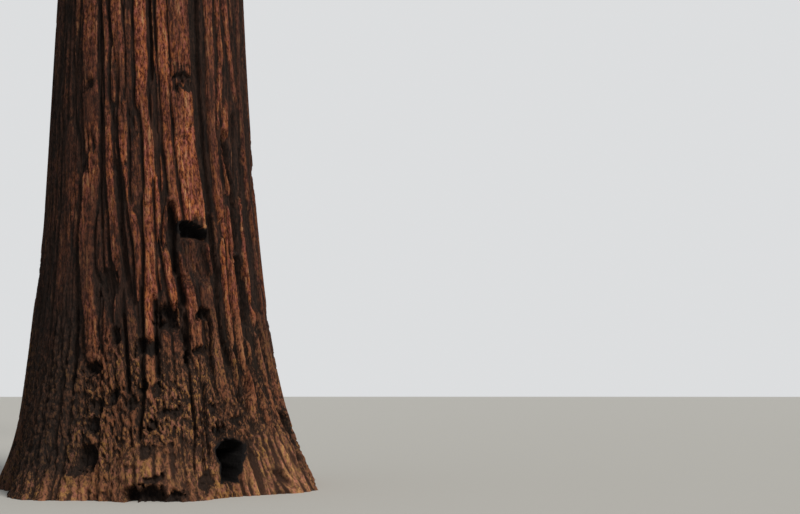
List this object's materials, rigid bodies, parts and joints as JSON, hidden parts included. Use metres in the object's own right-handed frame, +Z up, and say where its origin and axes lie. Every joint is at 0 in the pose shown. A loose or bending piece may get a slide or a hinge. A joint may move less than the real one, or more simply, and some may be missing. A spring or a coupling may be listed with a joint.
{
  "type": "redwood tree",
  "caption": "Tall coast redwood: a tapering fluted trunk with flared roots, a burnt alcove in its bark, short drooping boughs and a narrow spire of needle foliage.",
  "frame": {"origin": "centre of the flat cut under the trunk, at ground level (the ground mount)", "axes": "+Z up along the trunk; -Y faces the picture's viewer, +X to that viewer's right"},
  "size_m": [9.6835, 10.3199, 40],
  "materials": {
    "bark": "thick fibrous bark in long flat-topped ridges, rough and matt",
    "limb": "thin stringy bark, matt",
    "needles": "sprays of small flat needles, slightly waxy"
  },
  "bodies": {
    "root": {"bough_01": "limb", "bough_02": "limb", "bough_03": "limb", "bough_04": "limb", "bough_05": "limb", "bough_06": "limb", "bough_07": "limb", "bough_08": "limb", "bough_09": "limb", "bough_10": "limb", "bough_11": "limb", "bough_12": "limb", "bough_13": "limb", "bough_14": "limb", "bough_15": "limb", "foliage_01": "needles", "foliage_02": "needles", "foliage_03": "needles", "foliage_04": "needles", "foliage_05": "needles", "foliage_06": "needles", "foliage_07": "needles", "foliage_08": "needles", "foliage_09": "needles", "foliage_10": "needles", "foliage_11": "needles", "foliage_12": "needles", "foliage_13": "needles", "foliage_14": "needles", "foliage_15": "needles", "foliage_16": "needles", "foliage_17": "needles", "foliage_18": "needles", "foliage_19": "needles", "foliage_20": "needles", "foliage_21": "needles", "foliage_22": "needles", "foliage_23": "needles", "foliage_24": "needles", "foliage_25": "needles", "foliage_26": "needles", "foliage_27": "needles", "foliage_28": "needles", "foliage_29": "needles", "foliage_30": "needles", "foliage_31": "needles", "foliage_32": "needles", "foliage_33": "needles", "foliage_34": "needles", "foliage_top": "needles", "trunk": "bark"}
  },
  "joints": []
}
